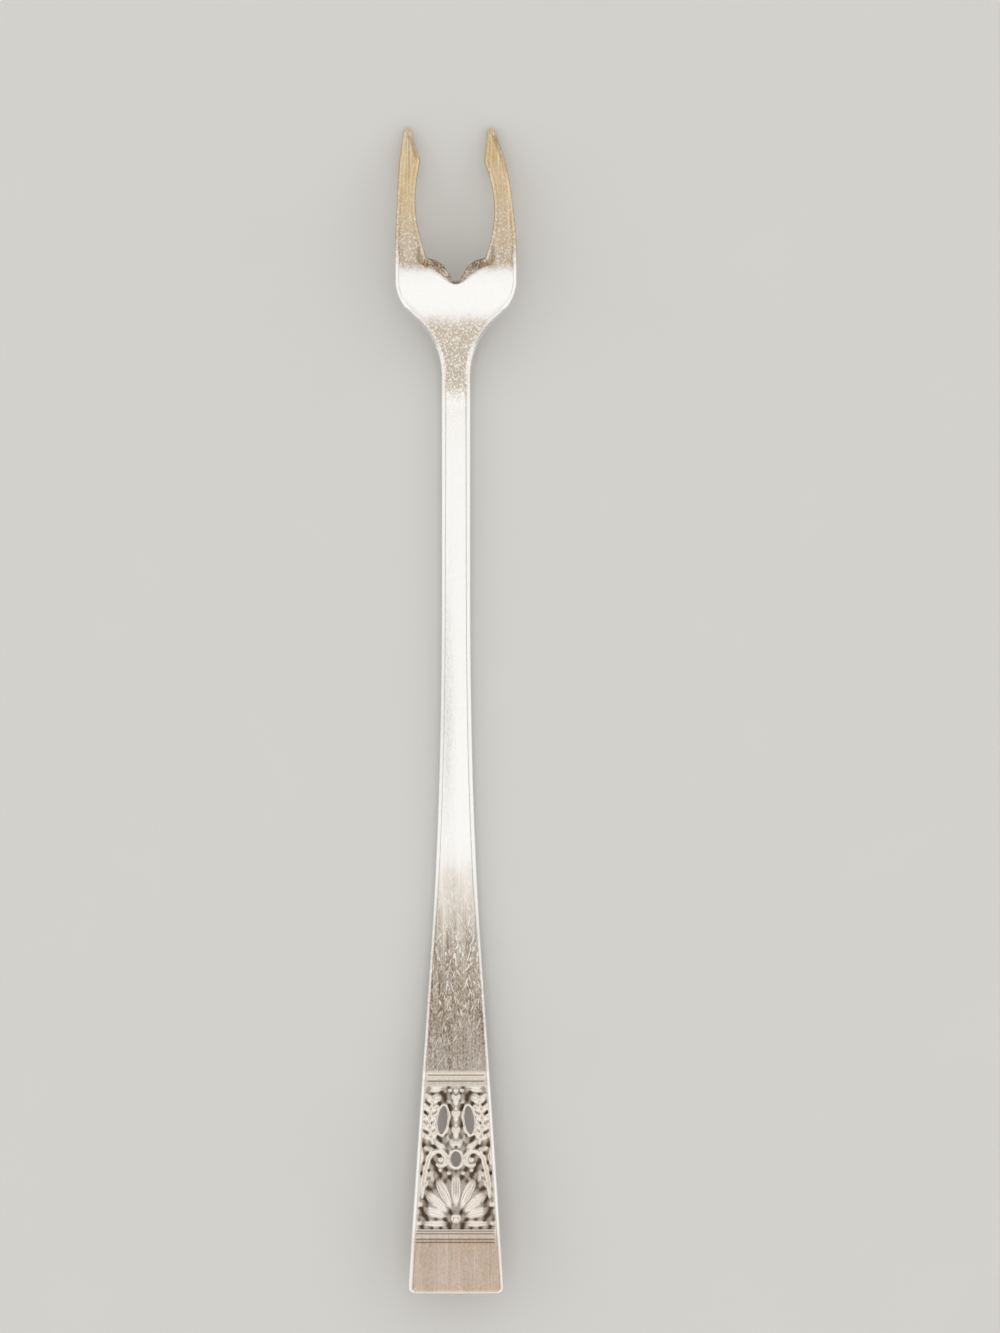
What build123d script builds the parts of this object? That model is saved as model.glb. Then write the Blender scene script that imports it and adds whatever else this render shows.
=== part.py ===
from build123d import *
import os
from math import acos, asin, atan2, cos, degrees, radians, sin, tan

# Silver-plated two-tined serving fork, lying back up on its tine tips and shank.
# X runs across the fork, Y along it towards the tines, Z up. Lengths are in millimetres
# and angles in degrees. Plan points are (x, d), with d measured from the handle end.

# Lengths along the fork
pad_length = 6.7            # plain pad at the handle end
band_length = 1.9           # each band of cross grooves
panel_length = 19.0         # struck and pierced panel
taper_length = 65.5         # handle narrowing into the shank
taper_waist = 21.8          # station along the taper where taper_width is measured
shank_length = 27.1         # parallel part of the shank
head_side_length = 3.0      # straight side of the head below the tine roots
tine_length = 17.5          # inner root of a tine to its tip

# Widths in plan
end_width = 12.9
panel_top_width = 9.0       # where the upper band ends and the taper starts
taper_width = 6.1
shank_width = 3.94
head_width = 16.26
end_corner_radius = 0.9
neck_radius = 10.6          # concave curve from the shank to the head
shoulder_radius = 6.0       # convex curve into the side of the head

# Tines: spreads are over their outer edges, gaps between their inner edges
tip_spacing = 11.2
tip_radius = 0.42
tip_angle = 15.0            # outer edge to the tine's axis at the tip
barb_to_tip = 4.5
barb_gap = 8.56
barb_spread = 14.1
barb_radius = 0.6
barb_back_angle = 17.0      # lower side of the barb to the tine's axis
waist_to_tip = 10.5
waist_gap = 10.5
waist_spread = 15.5
root_gap = 7.8
root_angle = 19.0           # inner edge of the tine at its root
root_radius = 0.5
tine_lean = 0.9             # both tips are bent this far towards -X

# Notch between the tine roots
notch_depth = 3.2
notch_radius = 0.6
notch_half_angle = 30.0
notch_brow_angle = 16.0     # fall of the brow from the tine root
notch_brow_radius = 3.2

# Side profile: bends along the fork, height of the underside, thickness
handle_rise = 5.3           # underside of the handle end above the shank's
handle_thickness = 1.8
handle_bend_after_ornament = 17.0
handle_bend_radius = 240.0
shank_thickness = 2.4
neck_bend_lead = 1.6        # the shank bends up this far before the neck widens
neck_bend_radius = 18.0
crest_to_root = 4.5         # top of the arch of the head to the tine roots
crest_rise = 5.4
crest_thickness = 1.8
crest_radius = 24.0
tine_bend_to_tip = 9.5
tine_bend_rise = 3.4
tine_thickness = 1.45
tine_bend_radius = 38.0
tip_thickness = 1.0

edge_round = 0.3            # worn round on every edge
plate_thickness = 0.05      # silver over the nickel-silver blank

# Cross grooves, placed from the outer end of each band
rail_width = 0.55           # plain margin beside the grooves and the panel
groove_width = 0.22
groove_depth = 0.12
lower_grooves = (0.1, 0.5, 1.25, 1.6)
upper_grooves = (0.3, 1.1)

# Panel ornament, struck alike into both faces: u across, v from the panel's wide end
ground_depth = 0.45         # background below the tops of the ornament
palmette_foot = 1.5
palmette_length = 6.2
palmette_lobes = 7
lobe_spread = 25.0          # angle from one lobe to the next
lobe_droop = 0.6            # share of its angle by which an outer lobe is shortened
lobe_start = 1.05           # gap from the foot to a lobe's inner end
lobe_width = 1.35
button_radius = 0.75
scroll_foot = 4.2
scroll_margin = 0.54        # middle of the stroke to the rail at its foot
scroll_radius = 16.0
scroll_turn = 20.0
scroll_width = 0.75
volute_radius = 1.2
volute_eye_radius = 0.8
volute_turn = 150.0
husk_below_top = 1.9
husk_pitch = 2.2
husk_length = 1.9
husk_width = 0.72
husk_petal_length = 1.27
husk_petal_reach = 0.48
husk_flare = 28.0
husk_count = 3
spray_below_top = 7.8
spray_margin = 1.5          # foot of the stem to the rail
spray_radius = 11.0
spray_turn = 32.0
spray_stem = 0.34
spray_leaves = 5
leaf_length = 0.95
leaf_width = 0.5
leaf_angle = 48.0
almond_center = 9.4
almond_size = (1.4, 2.1)    # width and length of the hole
slot_offset = 1.78
slot_below_top = 4.5
slot_size = (1.24, 3.8)
slot_tilt = 6.0
hole_rim = 0.3              # raised rim round each hole

end_clearance = 1.0         # cutters and the side profile run this far past the metal
leg_share = 0.95            # most of a straight leg that its rounded corners may use
corner_share = 0.72         # most of a corner's radius that the edge round may use
edge_share = 0.4            # most of the tip's thickness that one edge round may use
straight_slack = 1e-4       # slack when a direction is compared with an axis

# Stations worked out from the lengths
panel_start = pad_length + band_length
panel_end = panel_start + panel_length
ornament_end = panel_end + band_length
shank_start = ornament_end + taper_length
neck_start = shank_start + shank_length
neck_turn = acos(1 - (head_width - shank_width) / 2 / (neck_radius + shoulder_radius))
shoulder_end = neck_start + (neck_radius + shoulder_radius) * sin(neck_turn)
tine_root = shoulder_end + head_side_length
overall_length = tine_root + tine_length

# Slope of the handle, which is flat on both faces from its end past the ornament
handle_bend = ornament_end + handle_bend_after_ornament
handle_slope = atan2(handle_rise, handle_bend)
handle_half_thickness = handle_thickness * cos(handle_slope) / 2
panel_top = panel_length / cos(handle_slope)

# The edge round is limited by the tightest corners of the plan and by the tip
edge_radius = min(
    edge_round,
    corner_share * min(tip_radius, barb_radius, end_corner_radius),
    edge_share * tip_thickness,
)


def heading(angle):
    """Unit plan direction at an angle from +d, positive towards -x."""
    return Vector(-sin(radians(angle)), cos(radians(angle)))


def convex_arc(center, radius, start_heading, end_heading):
    """Arc round a convex corner, walked with the metal on the left."""
    start = center + Vector(start_heading.Y, -start_heading.X) * radius
    turn = degrees(atan2(start_heading.cross(end_heading).Z, start_heading.dot(end_heading)))
    return JernArc(start, start_heading, radius, turn)


def crossing(p, p_heading, q, q_heading):
    """Point where two plan lines cross."""
    return p + p_heading * ((q - p).cross(q_heading).Z / p_heading.cross(q_heading).Z)


def draw_in(points, amount):
    """Polyline moved sideways, to its left, by amount."""
    points = [Vector(point) for point in points]
    legs = [(q - p).normalized() for p, q in zip(points, points[1:])]
    normals = [Vector(-leg.Y, leg.X) for leg in legs]
    before = normals[:1] + normals
    after = normals + normals[-1:]
    return [p + (m + n) * (amount / (1 + m.dot(n))) for p, m, n in zip(points, before, after)]


def rounded(points, radii):
    """Edges of a polyline with rounded corners, each eased where its legs are too short."""
    legs = [q - p for p, q in zip(points, points[1:])]
    turns = [radians(a.get_angle(b)) for a, b in zip(legs, legs[1:])]
    cuts = [0] + [radius * tan(turn / 2) for radius, turn in zip(radii, turns)] + [0]
    ease = [min(1, leg_share * leg.length / (a + b)) for leg, a, b in zip(legs, cuts, cuts[1:])]
    fitted = [radius * min(pair) for radius, pair in zip(radii, zip(ease, ease[1:]))]
    return FilletPolyline(*points, radius=fitted)


def tine_edges(lean, inset):
    """Edges of the right-hand tine, from the side of the head round to the notch."""
    def point(x, d):
        return Vector(x - lean * ((d - tine_root) / tine_length) ** 2, d)

    def lean_angle(d):
        return degrees(atan2(2 * lean * (d - tine_root), tine_length ** 2))

    barb_d = overall_length - barb_to_tip
    waist_d = overall_length - waist_to_tip
    tip_center = point(tip_spacing / 2, overall_length) - Vector(0, tip_radius)
    barb_center = point(barb_gap / 2 + barb_radius, barb_d)
    outer_heading = heading(lean_angle(overall_length) + tip_angle)
    # The inner edge runs straight from the arc of the tip to the arc of the barb
    span = barb_center - tip_center
    cross_angle = degrees(asin((tip_radius - barb_radius) / span.length))
    inner_heading = span.normalized().rotate(Axis.Z, cross_angle)
    back_heading = -heading(lean_angle(barb_d) + barb_back_angle)
    root_heading = -heading(-root_angle)

    tip_arc = convex_arc(tip_center, tip_radius - inset, outer_heading, inner_heading)
    barb_arc = convex_arc(barb_center, barb_radius - inset, inner_heading, back_heading)
    side_x = head_width / 2 - inset
    side = Line((side_x, shoulder_end), (side_x, tine_root))
    outer = Spline(
        side @ 1,
        point(waist_spread / 2 - inset, waist_d),
        point(barb_spread / 2 - inset, barb_d),
        tip_arc @ 0,
        tangents=[(0, 1), outer_heading],
    )
    tip_to_barb = Line(tip_arc @ 1, barb_arc @ 0)

    # Brow and notch: straight legs with their corners rounded
    root = Vector(root_gap / 2, tine_root)
    root_leg = root - root_heading * (2 * root_radius)
    notch_center = Vector(0, tine_root - notch_depth + notch_radius)
    notch_leg = heading(-notch_half_angle)
    leg_end = notch_center + Vector(notch_leg.Y, -notch_leg.X) * notch_radius
    brow = crossing(root, heading(notch_brow_angle + 90), leg_end, notch_leg)
    corners = draw_in([root_leg, root, brow, leg_end], inset)
    brow_edges = rounded(corners, [root_radius + inset, notch_brow_radius - inset])
    inner = Spline(
        barb_arc @ 1,
        point(waist_gap / 2 + inset, waist_d),
        corners[0],
        tangents=[back_heading, root_heading],
    )
    notch_arc = JernArc(corners[-1], -notch_leg, notch_radius + inset, notch_half_angle - 90)
    return [side, outer, tip_arc, tip_to_barb, barb_arc, inner, *brow_edges.edges(), notch_arc]


def half_outline(lean, inset):
    """Right-hand half of the plan, from the handle end to the bottom of the notch."""
    corners = [(0, 0), (end_width / 2, 0), (panel_top_width / 2, ornament_end)]
    handle = rounded(draw_in(corners, inset), [end_corner_radius - inset])
    shank_x = shank_width / 2 - inset
    taper = Spline(
        handle @ 1,
        (taper_width / 2 - inset, ornament_end + taper_waist),
        (shank_x, shank_start),
        tangents=[handle % 1, (0, 1)],
    )
    shank = Line(taper @ 1, (shank_x, neck_start))
    neck = JernArc(shank @ 1, (0, 1), neck_radius + inset, -degrees(neck_turn))
    shoulder = JernArc(neck @ 1, neck % 1, shoulder_radius - inset, degrees(neck_turn))
    return [*handle.edges(), taper, shank, neck, shoulder, *tine_edges(lean, inset)]


def plan_face(inset):
    """The whole outline; the left half is drawn with the lean the other way and mirrored."""
    right = half_outline(tine_lean, inset)
    left = [mirror(edge, about=Plane.YZ) for edge in half_outline(-tine_lean, inset)]
    return make_face(right + left)


def run_past(inner, end):
    """Point on the line from inner to end, a little beyond the end of the fork."""
    leg = Vector(end) - Vector(inner)
    return Vector(end) + leg * (end_clearance / abs(leg.X))


def side_face(inset):
    """Side profile with (d, z) as the plane's own axes; hollow is 1 in a valley, -1 on a crest."""
    neck_bend = neck_start - neck_bend_lead
    crest = tine_root - crest_to_root
    tine_bend = overall_length - tine_bend_to_tip
    bends = [
        (handle_bend, 0, handle_thickness, handle_bend_radius, 1),
        (neck_bend, 0, shank_thickness, neck_bend_radius, 1),
        (crest, crest_rise, crest_thickness, crest_radius, -1),
        (tine_bend, tine_bend_rise, tine_thickness, tine_bend_radius, -1),
    ]
    under = [(0, handle_rise)] + [(d, z) for d, z, *_ in bends] + [(overall_length, 0)]
    over = [(d, z + thickness) for d, z, thickness, *_ in bends]
    over = [(0, handle_rise + handle_thickness)] + over + [(overall_length, tip_thickness)]
    under_radii = [radius - hollow * inset for *_, radius, hollow in bends]
    over_radii = [radius + hollow * (inset - thickness) for _, _, thickness, radius, hollow in bends]
    for points in (under, over):
        points[0] = run_past(points[1], points[0])
        points[-1] = run_past(points[-2], points[-1])
    under = draw_in(under, inset)
    over = draw_in(over, -inset)
    faces = rounded(under, under_radii).edges() + rounded(over, over_radii).edges()
    ends = [Line(under[i], over[i]) for i in (0, -1)]
    return make_face(faces + ends)


def handle_plane(d, level):
    """Plane along the sloping handle at station d, level above its middle."""
    middle = handle_rise * (1 - d / handle_bend) + handle_thickness / 2
    normal = Vector(0, sin(handle_slope), cos(handle_slope))
    return Plane(origin=Vector(0, d, middle) + normal * level, x_dir=(1, 0, 0), z_dir=normal)


def field_half_width(d):
    """Half the width between the rails at station d."""
    return (end_width + (panel_top_width - end_width) * d / ornament_end) / 2 - rail_width


def field_face(start, end, inset):
    """Face across the handle between its rails, from station start to end."""
    near = field_half_width(start) + inset
    far = field_half_width(end) + inset
    top = (end - start) / cos(handle_slope) + inset
    return make_face(Polyline((-near, -inset), (near, -inset), (far, top), (-far, top), close=True))


def both_sides(shape):
    return [shape, mirror(shape, about=Plane.YZ)]


def oval(center, size, angle, inset):
    """Oval of a width and length, with its length along +v before it is turned."""
    return Pos(*center) * Rot(0, 0, angle) * Ellipse(size[0] / 2 - inset, size[1] / 2 - inset)


def oval_along(foot, angle, start, end, width, inset):
    """Oval that runs outwards from a foot point, between two distances from it."""
    center = Vector(foot) + heading(angle) * ((start + end) / 2)
    return oval((center.X, center.Y), (width, end - start), angle, inset)


def palmette(inset):
    foot = (0, palmette_foot)
    shapes = [Pos(*foot) * Circle(button_radius - inset)]
    for k in range(palmette_lobes):
        angle = (k - (palmette_lobes - 1) / 2) * lobe_spread
        length = palmette_length * cos(radians(lobe_droop * angle))
        shapes.append(oval_along(foot, angle, lobe_start, length, lobe_width, inset))
    return shapes


def scrolls(inset):
    foot_u = field_half_width(panel_start + scroll_foot * cos(handle_slope)) - scroll_margin
    rise = JernArc((foot_u, scroll_foot), (0, 1), scroll_radius, scroll_turn)
    curl = JernArc(rise @ 1, rise % 1, volute_radius, volute_turn)
    eye = JernArc(curl @ 1, curl % 1, volute_eye_radius, volute_turn)
    strokes = [SlotArc(arc, scroll_width - 2 * inset) for arc in (rise, curl, eye)]
    return [side for stroke in strokes for side in both_sides(stroke)]


def husks(inset):
    shapes = []
    for k in range(husk_count):
        v = panel_top - husk_below_top - k * husk_pitch
        shapes.append(oval((0, v), (husk_width, husk_length), 0, inset))
        start = husk_petal_reach - husk_petal_length / 2
        for angle in (-husk_flare, husk_flare):
            shapes.append(oval_along((0, v), angle, start, start + husk_petal_length, husk_width, inset))
    return shapes


def sprays(inset):
    foot_v = panel_top - spray_below_top
    foot_u = field_half_width(panel_start + foot_v * cos(handle_slope)) - spray_margin
    stem = JernArc((foot_u, foot_v), heading(-spray_turn / 2), spray_radius, spray_turn)
    shapes = both_sides(SlotArc(stem, spray_stem - 2 * inset))
    for k in range(spray_leaves):
        share = (k + 0.5) / spray_leaves
        along = (share - 0.5) * spray_turn
        for angle in (along - leaf_angle, along + leaf_angle):
            shapes += both_sides(oval_along(stem @ share, angle, 0, leaf_length, leaf_width, inset))
    return shapes


def piercings(margin):
    """Outlines of the holes, grown by margin."""
    slot_center = (slot_offset, panel_top - slot_below_top)
    return [
        oval((0, almond_center), almond_size, 0, -margin),
        *both_sides(oval(slot_center, slot_size, slot_tilt, -margin)),
    ]


def standing(sketch, d, low, high):
    """Solid on the handle's own slope, between two levels above its middle."""
    return extrude(handle_plane(d, low) * sketch, amount=high - low)


def ornament_cuts(inset):
    """Everything struck into both faces of the handle or pierced through it."""
    motif = palmette(inset) + scrolls(inset) + husks(inset) + sprays(inset) + piercings(hole_rim - inset)
    ground = field_face(panel_start, panel_end, inset) - motif
    fields = [(ground, panel_start, ground_depth)]
    grooves = [pad_length + at for at in lower_grooves]
    grooves += [ornament_end - at - groove_width for at in upper_grooves]
    for start in grooves:
        fields.append((field_face(start, start + groove_width, inset), start, groove_depth))
    beyond = handle_half_thickness + end_clearance
    cuts = [standing(hole, panel_start, -beyond, beyond) for hole in piercings(inset)]
    for sketch, d, depth in fields:
        floor = handle_half_thickness - depth - inset
        cuts.append(standing(sketch, d, floor, beyond))
        cuts.append(standing(sketch, d, -beyond, -floor))
    return cuts


def is_rim(edge):
    """True on the edges between the outline and the upper and lower faces."""
    middle = edge % 0.5
    seam = edge.geom_type == GeomType.LINE and abs(middle.Y) + abs(middle.Z) < straight_slack
    at_end = (edge @ 0).Y < end_corner_radius
    upright = abs(middle.X) + abs(middle.Y) < straight_slack
    return not upright and (at_end or not seam)


def fork(inset):
    """Fork drawn in by inset all over, with its handle end at the origin."""
    tall = overall_length
    side_plane = Plane(origin=(0, 0, 0), x_dir=(0, 1, 0), z_dir=(1, 0, 0))
    body = extrude(plan_face(inset), amount=tall, both=True)
    body &= extrude(side_plane * side_face(inset), amount=tall, both=True)
    body = fillet(body.edges().filter_by(is_rim), edge_radius - inset)
    return body - ornament_cuts(inset)


to_center = Pos(0, -overall_length / 2, 0)
fork_blank = to_center * fork(plate_thickness)
silver_plating = to_center * fork(0) - fork_blank

os.makedirs("parts", exist_ok=True)
for name, piece in (("fork_blank", fork_blank), ("silver_plating", silver_plating)):
    export_step(piece, f"parts/{name}.step")
    print(name, round(piece.volume, 2), "mm3")
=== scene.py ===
from math import acos, asin, atan2, cos, degrees, pi, radians, sin, tan

import bmesh
import bpy
import numpy as np
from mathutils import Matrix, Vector, kdtree


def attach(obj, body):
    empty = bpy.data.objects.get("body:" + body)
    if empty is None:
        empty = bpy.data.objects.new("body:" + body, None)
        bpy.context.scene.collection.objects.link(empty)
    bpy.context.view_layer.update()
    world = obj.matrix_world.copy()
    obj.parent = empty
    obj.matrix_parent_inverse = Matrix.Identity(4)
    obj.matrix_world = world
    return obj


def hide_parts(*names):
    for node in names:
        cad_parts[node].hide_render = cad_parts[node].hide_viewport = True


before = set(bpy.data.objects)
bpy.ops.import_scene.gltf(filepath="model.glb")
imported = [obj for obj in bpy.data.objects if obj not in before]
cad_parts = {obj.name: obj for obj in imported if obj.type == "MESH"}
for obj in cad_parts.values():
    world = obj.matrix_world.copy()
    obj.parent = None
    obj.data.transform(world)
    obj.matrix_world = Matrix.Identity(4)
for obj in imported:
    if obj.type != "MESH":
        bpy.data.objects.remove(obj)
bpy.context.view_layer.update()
mm = 0.001

# The fork's plan and side profile in mm and degrees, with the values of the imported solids.
# Points are (x, d): x across the fork, d along it from the handle end.
fork = {
    "padLength": 6.7, "bandLength": 1.9, "panelLength": 19.0, "taperLength": 65.5, "taperWaist": 21.8,
    "shankLength": 27.1, "headSideLength": 3.0, "tineLength": 17.5,
    "endWidth": 12.9, "panelTopWidth": 9.0, "taperWidth": 6.1, "shankWidth": 3.94, "headWidth": 16.26,
    "endCornerRadius": 0.9, "neckRadius": 10.6, "shoulderRadius": 6.0,
    "tipSpacing": 11.2, "tipRadius": 0.42, "tipAngle": 15.0,
    "barbToTip": 4.5, "barbGap": 8.56, "barbSpread": 14.1, "barbRadius": 0.6, "barbBackAngle": 17.0,
    "waistToTip": 10.5, "waistGap": 10.5, "waistSpread": 15.5,
    "rootGap": 7.8, "rootAngle": 19.0, "rootRadius": 0.5, "tineLean": 0.9,
    "notchDepth": 3.2, "notchRadius": 0.6, "notchHalfAngle": 30.0, "browAngle": 16.0, "browRadius": 3.2,
    "handleRise": 5.3, "handleThickness": 1.8,
    "handleBendAfterOrnament": 17.0, "handleBendRadius": 240.0,
    "shankThickness": 2.4, "neckBendLead": 1.6, "neckBendRadius": 18.0,
    "crestToRoot": 4.5, "crestRise": 5.4, "crestThickness": 1.8, "crestRadius": 24.0,
    "tineBendToTip": 9.5, "tineBendRise": 3.4, "tineThickness": 1.45, "tineBendRadius": 38.0,
    "tipThickness": 1.0, "plateThickness": 0.05, "railWidth": 0.55,
    "grooveWidth": 0.22, "grooveDepth": 0.12,
    "lowerGrooves": (0.1, 0.5, 1.25, 1.6), "upperGrooves": (0.3, 1.1),    # in from the ornament's two ends
}
panelStart = fork["padLength"] + fork["bandLength"]
panelEnd = panelStart + fork["panelLength"]
ornamentEnd = panelEnd + fork["bandLength"]
shankStart = ornamentEnd + fork["taperLength"]
neckStart = shankStart + fork["shankLength"]
neckReach = fork["neckRadius"] + fork["shoulderRadius"]
neckTurn = degrees(acos(1 - (fork["headWidth"] - fork["shankWidth"]) / 2 / neckReach))
shoulderEnd = neckStart + neckReach * sin(radians(neckTurn))
tineRoot = shoulderEnd + fork["headSideLength"]
overallLength = tineRoot + fork["tineLength"]
notchBottom = tineRoot - fork["notchDepth"]
handleBend = ornamentEnd + fork["handleBendAfterOrnament"]
handleSlope = atan2(fork["handleRise"], handleBend)
panelTop = fork["panelLength"] / cos(handleSlope)    # the panel's length along its own slope


def heading(angle):    # unit direction at an angle from +d, positive towards -x
    return np.array((-sin(radians(angle)), cos(radians(angle))))


def unit(vector):
    return vector / np.hypot(*vector)


def arc(center, radius, start, end, count=24):
    turn = np.radians(np.linspace(start, end, count))
    return np.column_stack((center[0] + radius * np.cos(turn), center[1] + radius * np.sin(turn)))


def roundedLine(points, radii, count=64):    # polyline with an arc at each inner corner
    points = [np.array(point, float) for point in points]
    path = [points[0]]
    for before, corner, after, radius in zip(points, points[1:], points[2:], radii):
        goIn, goOut = unit(corner - before), unit(after - corner)
        turn = atan2(goIn[0] * goOut[1] - goIn[1] * goOut[0], goIn @ goOut)
        start = corner - goIn * radius * tan(abs(turn) / 2)
        center = start + np.copysign(radius, turn) * np.array((-goIn[1], goIn[0]))
        first = degrees(atan2(start[1] - center[1], start[0] - center[0]))
        path.extend(arc(center, radius, first, first + degrees(turn), count))
    return np.array(path + [points[-1]])


def clampedCurve(points, startDirection, endDirection, count=40):    # cubic through a few points
    points = np.array(points, float)
    chord = np.hypot(*np.diff(points, axis=0).T)
    last = len(points) - 1
    weights, right = np.eye(last + 1), np.zeros((last + 1, 2))
    right[0], right[last] = startDirection, endDirection
    for k in range(1, last):
        before, after = chord[k - 1], chord[k]
        weights[k, k - 1:k + 2] = after, 2 * (before + after), before
        right[k] = 3 * after / before * (points[k] - points[k - 1])
        right[k] += 3 * before / after * (points[k + 1] - points[k])
    slopes = np.linalg.solve(weights, right)
    t = np.linspace(0, 1, count)[:, None]
    spans = []
    for k in range(last):
        span = (2 * t ** 3 - 3 * t ** 2 + 1) * points[k] + (3 * t ** 2 - 2 * t ** 3) * points[k + 1]
        span += chord[k] * ((t ** 3 - 2 * t ** 2 + t) * slopes[k] + (t ** 3 - t ** 2) * slopes[k + 1])
        spans.append(span)
    return np.vstack(spans)


def edgeCurves(lean):    # outer and inner edge of the right half, with d rising along both
    def leant(x, d):
        return np.array((x - lean * ((d - tineRoot) / fork["tineLength"]) ** 2, d))

    def leanAngle(d):
        return degrees(atan2(2 * lean * (d - tineRoot), fork["tineLength"] ** 2))

    handle = roundedLine(
        [(0, 0), (fork["endWidth"] / 2, 0), (fork["panelTopWidth"] / 2, ornamentEnd)],
        [fork["endCornerRadius"]])
    shankX, headX = fork["shankWidth"] / 2, fork["headWidth"] / 2
    taper = clampedCurve(
        [handle[-1], (fork["taperWidth"] / 2, ornamentEnd + fork["taperWaist"]), (shankX, shankStart)],
        unit(handle[-1] - handle[-2]), (0, 1))
    neck = arc((shankX + fork["neckRadius"], neckStart), fork["neckRadius"], 180, 180 - neckTurn)
    shoulder = arc((headX - fork["shoulderRadius"], shoulderEnd), fork["shoulderRadius"], -neckTurn, 0)

    barbD, waistD = overallLength - fork["barbToTip"], overallLength - fork["waistToTip"]
    tip = leant(fork["tipSpacing"] / 2, overallLength) - (0, fork["tipRadius"])
    barb = leant(fork["barbGap"] / 2 + fork["barbRadius"], barbD)
    outerAngle = leanAngle(overallLength) + fork["tipAngle"]
    outerTip = arc(tip, fork["tipRadius"], outerAngle, 90)
    outerTine = clampedCurve(
        [(headX, tineRoot), leant(fork["waistSpread"] / 2, waistD), leant(fork["barbSpread"] / 2, barbD),
         outerTip[0]], (0, 1), heading(outerAngle))
    outer = np.vstack((handle[1:], taper, [(shankX, neckStart)], neck, shoulder, outerTine, outerTip))

    # Inner edge: notch, brow, root, waist, barb and the straight run to the tip
    span = tip - barb
    narrowing = asin((fork["tipRadius"] - fork["barbRadius"]) / np.hypot(*span))
    innerAngle = degrees(atan2(-span[0], span[1]) + narrowing)
    backAngle = leanAngle(barbD) + fork["barbBackAngle"]
    barbArc = arc(barb, fork["barbRadius"], 180 + backAngle, 180 + innerAngle)
    innerTip = arc(tip, fork["tipRadius"], 180 + innerAngle, 90)
    notchLeg, rootLeg = heading(-fork["notchHalfAngle"]), heading(-fork["rootAngle"])
    notchCenter = (0, notchBottom + fork["notchRadius"])
    notchArc = arc(notchCenter, fork["notchRadius"], -90, -fork["notchHalfAngle"])
    root = np.array((fork["rootGap"] / 2, tineRoot))
    browRun = heading(fork["browAngle"] + 90)
    steps = np.linalg.solve(np.column_stack((notchLeg, -browRun)), root - notchArc[-1])
    brow = notchArc[-1] + notchLeg * steps[0]
    rootEnd = root + rootLeg * 2 * fork["rootRadius"]
    browLine = roundedLine([notchArc[-1], brow, root, rootEnd], [fork["browRadius"], fork["rootRadius"]])
    innerTine = clampedCurve(
        [rootEnd, leant(fork["waistGap"] / 2, waistD), barbArc[0]], rootLeg, heading(backAngle))
    return outer, np.vstack((notchArc, browLine, innerTine, barbArc, innerTip))


def sideProfile():    # height of the under and the upper face along d
    # Station, height of the under face, thickness, radius under, and 1 for a hollow or -1 for a crest
    bends = [
        (handleBend, 0, fork["handleThickness"], fork["handleBendRadius"], 1),
        (neckStart - fork["neckBendLead"], 0, fork["shankThickness"], fork["neckBendRadius"], 1),
        (tineRoot - fork["crestToRoot"], fork["crestRise"], fork["crestThickness"],
         fork["crestRadius"], -1),
        (overallLength - fork["tineBendToTip"], fork["tineBendRise"], fork["tineThickness"],
         fork["tineBendRadius"], -1),
    ]
    under = [(0, fork["handleRise"])] + [bend[:2] for bend in bends] + [(overallLength, 0)]
    over = [(0, fork["handleRise"] + fork["handleThickness"])] + [(d, z + t) for d, z, t, *_ in bends]
    over.append((overallLength, fork["tipThickness"]))
    underRadii = [radius for *_, radius, hollow in bends]
    overRadii = [radius - hollow * t for _, _, t, radius, hollow in bends]
    return roundedLine(under, underRadii), roundedLine(over, overRadii)


def fieldHalf(d):    # half the width between the plain rails of the handle
    width = fork["endWidth"] + (fork["panelTopWidth"] - fork["endWidth"]) * d / ornamentEnd
    return width / 2 - fork["railWidth"]


# One helper for every node of every tree. Values, nodes and outputs feed the sockets in order, and a
# keyword is one of the node's own settings or else the name of a socket, with _ for a space.
def addNode(tree, kind, *fed, **named):
    node = tree.nodes.new(kind)
    settings = [name for name in named if hasattr(node, name)]
    for name in settings:
        setattr(node, name, named[name])
    pairs = list(zip([socket for socket in node.inputs if socket.enabled], fed))
    rest = [name for name in named if name not in settings]
    pairs += [(node.inputs[name.replace("_", " ")], named[name]) for name in rest]
    for socket, value in pairs:
        if isinstance(value, bpy.types.Node):
            value = next(output for output in value.outputs if output.enabled)
        if isinstance(value, bpy.types.NodeSocket):
            tree.links.new(value, socket)
        else:
            socket.default_value = value
    return node


def linear(hexColour):    # the sRGB curve undone
    shares = [int(hexColour[k:k + 2], 16) / 255 for k in (1, 3, 5)]
    return [c / 12.92 if c <= 0.04045 else ((c + 0.055) / 1.055) ** 2.4 for c in shares] + [1.0]


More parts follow.
